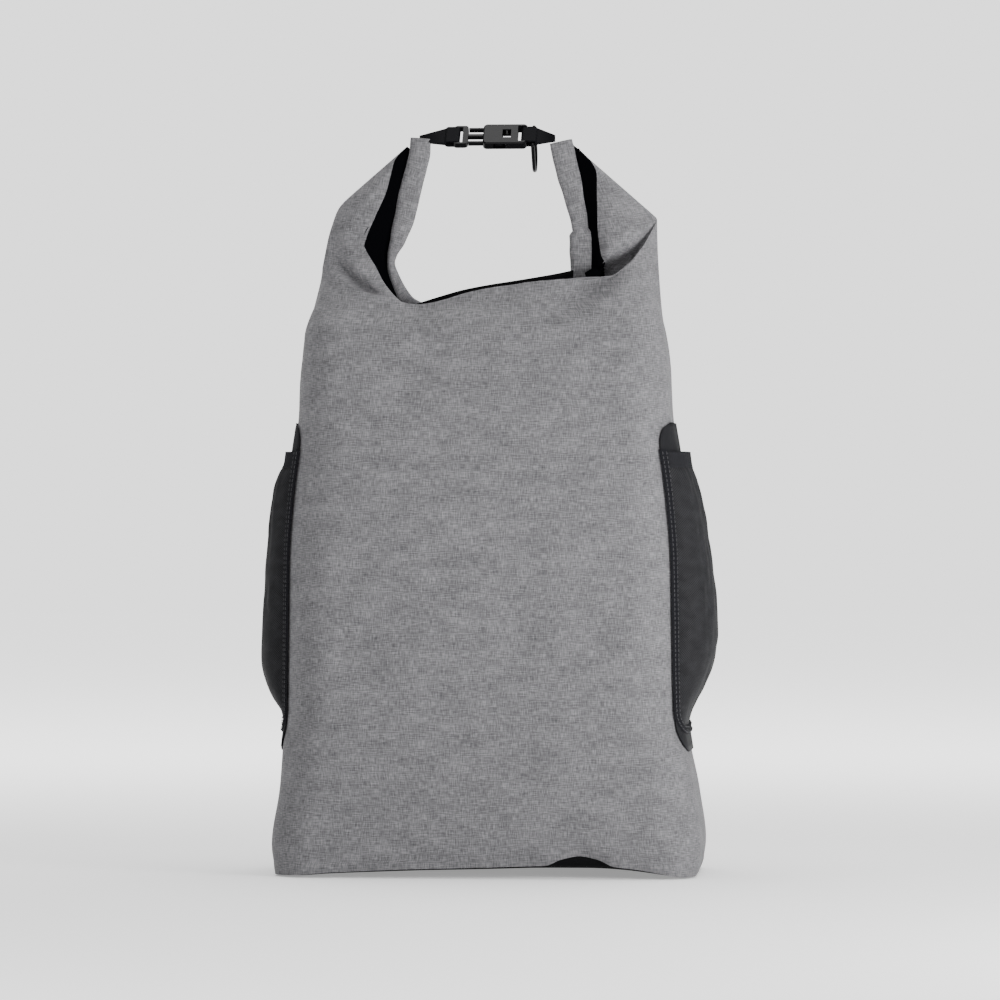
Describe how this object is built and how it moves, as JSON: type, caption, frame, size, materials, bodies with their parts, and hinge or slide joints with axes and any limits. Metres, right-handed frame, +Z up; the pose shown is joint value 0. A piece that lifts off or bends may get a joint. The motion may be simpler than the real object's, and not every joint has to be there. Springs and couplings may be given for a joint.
{
  "type": "dry bag",
  "caption": "Roll-top dry bag, rolled shut and clipped into a handle, with mesh side pockets, a padded back and shoulder straps.",
  "frame": {"origin": "middle of the flat base", "axes": "+Z up through the handle, -Y towards the plain front, +Y towards the back pad and straps, +X towards the socket half of the buckle"},
  "size_m": [0.3394, 0.2025, 0.5606],
  "materials": {
    "heather_fabric": "coated heather-grey weave, matte",
    "black_fabric": "coated black weave, matte",
    "patch_fabric": "smooth coated dark grey, satin",
    "pocket_mesh": "open black netting",
    "elastic": "ribbed black elastic",
    "binding": "ribbed black binding tape",
    "pad_fabric": "black spacer mesh over foam",
    "black_webbing": "ribbed black webbing",
    "seam_tape": "welded seam tape, satin",
    "stiffener": "flexible strip, satin",
    "buckle_plastic": "moulded black plastic, half gloss"
  },
  "bodies": {
    "root": {"front_panel": "heather_fabric", "back_panel": "heather_fabric", "bottom_panel": "black_fabric", "roll_centre": "heather_fabric", "stiffener_centre": "stiffener", "back_pad": "pad_fabric", "harness_yoke": "black_webbing", "seam_tape_left": "seam_tape", "side_patch_left": "patch_fabric", "mesh_pocket_left": "pocket_mesh", "pocket_elastic_left": "elastic", "pocket_binding_left": "binding", "shoulder_fold_left": "heather_fabric", "shoulder_strap_left": "pad_fabric", "strap_keeper_left": "black_webbing", "adjuster_webbing_left": "black_webbing", "anchor_tab_left": "black_webbing", "seam_tape_right": "seam_tape", "side_patch_right": "patch_fabric", "mesh_pocket_right": "pocket_mesh", "pocket_elastic_right": "elastic", "pocket_binding_right": "binding", "shoulder_fold_right": "heather_fabric", "shoulder_strap_right": "pad_fabric", "strap_keeper_right": "black_webbing", "adjuster_webbing_right": "black_webbing", "anchor_tab_right": "black_webbing"},
    "left_arm": {"roll_arm_left": "heather_fabric", "stiffener_left": "stiffener", "closure_strap_left": "black_fabric"},
    "right_arm": {"roll_arm_right": "heather_fabric", "stiffener_right": "stiffener", "closure_strap_right": "black_fabric"},
    "plug": {"buckle_plug": "buckle_plastic", "plug_webbing": "black_webbing"},
    "prong_front": {"buckle_prong_front": "buckle_plastic"},
    "prong_back": {"buckle_prong_back": "buckle_plastic"},
    "socket": {"buckle_socket": "buckle_plastic", "socket_webbing": "black_webbing"},
    "ring": {"d_ring": "buckle_plastic"},
    "lock_left": {"ladder_lock_left": "buckle_plastic"},
    "lock_right": {"ladder_lock_right": "buckle_plastic"}
  },
  "joints": [
    {"name": "left_arm_swing", "type": "hinge", "parent": "root", "child": "left_arm", "pos_m": [-0.073, 0, 0.452], "axis": [0, -1, 0], "range_deg": [0, 20], "deforming": ["shoulder_fold_left"]},
    {"name": "right_arm_swing", "type": "hinge", "parent": "root", "child": "right_arm", "pos_m": [0.073, 0, 0.452], "axis": [0, 1, 0], "range_deg": [0, 20], "deforming": ["shoulder_fold_right"]},
    {"name": "plug_level", "type": "hinge", "parent": "left_arm", "child": "plug", "pos_m": [-0.052, 0, 0.5495], "axis": [0, 1, 0], "range_deg": [0, 20], "deforming": ["plug_webbing"]},
    {"name": "socket_level", "type": "hinge", "parent": "right_arm", "child": "socket", "pos_m": [0.052, 0, 0.5495], "axis": [0, -1, 0], "range_deg": [0, 20], "deforming": ["socket_webbing"]},
    {"name": "prong_front_flex", "type": "hinge", "parent": "plug", "child": "prong_front", "pos_m": [-0.0138, -0.00551, 0.54548], "axis": [0, -0.7071, 0.7071], "range_deg": [0, 6], "stiffness_Nm_per_rad": 0.05},
    {"name": "prong_back_flex", "type": "hinge", "parent": "plug", "child": "prong_back", "pos_m": [-0.0138, 0.00551, 0.55651], "axis": [0, 0.7071, -0.7071], "range_deg": [0, 6], "stiffness_Nm_per_rad": 0.05},
    {"name": "ring_swing", "type": "hinge", "parent": "socket", "child": "ring", "pos_m": [0.0346, 0, 0.551], "axis": [0, 0.7071, 0.7071], "range_deg": [-10, 30]},
    {"name": "lock_left_tilt", "type": "hinge", "parent": "root", "child": "lock_left", "pos_m": [-0.058, 0.111, 0.20925], "axis": [1, 0, 0], "range_deg": [0, 25], "deforming": ["adjuster_webbing_left"]},
    {"name": "lock_right_tilt", "type": "hinge", "parent": "root", "child": "lock_right", "pos_m": [0.058, 0.111, 0.20925], "axis": [1, 0, 0], "range_deg": [0, 25], "deforming": ["adjuster_webbing_right"]}
  ],
  "couplings": [
    {"joint": "right_arm_swing", "follows": "left_arm_swing", "ratio": 1},
    {"joint": "plug_level", "follows": "left_arm_swing", "ratio": 1},
    {"joint": "socket_level", "follows": "left_arm_swing", "ratio": 1},
    {"joint": "prong_back_flex", "follows": "prong_front_flex", "ratio": 1}
  ]
}
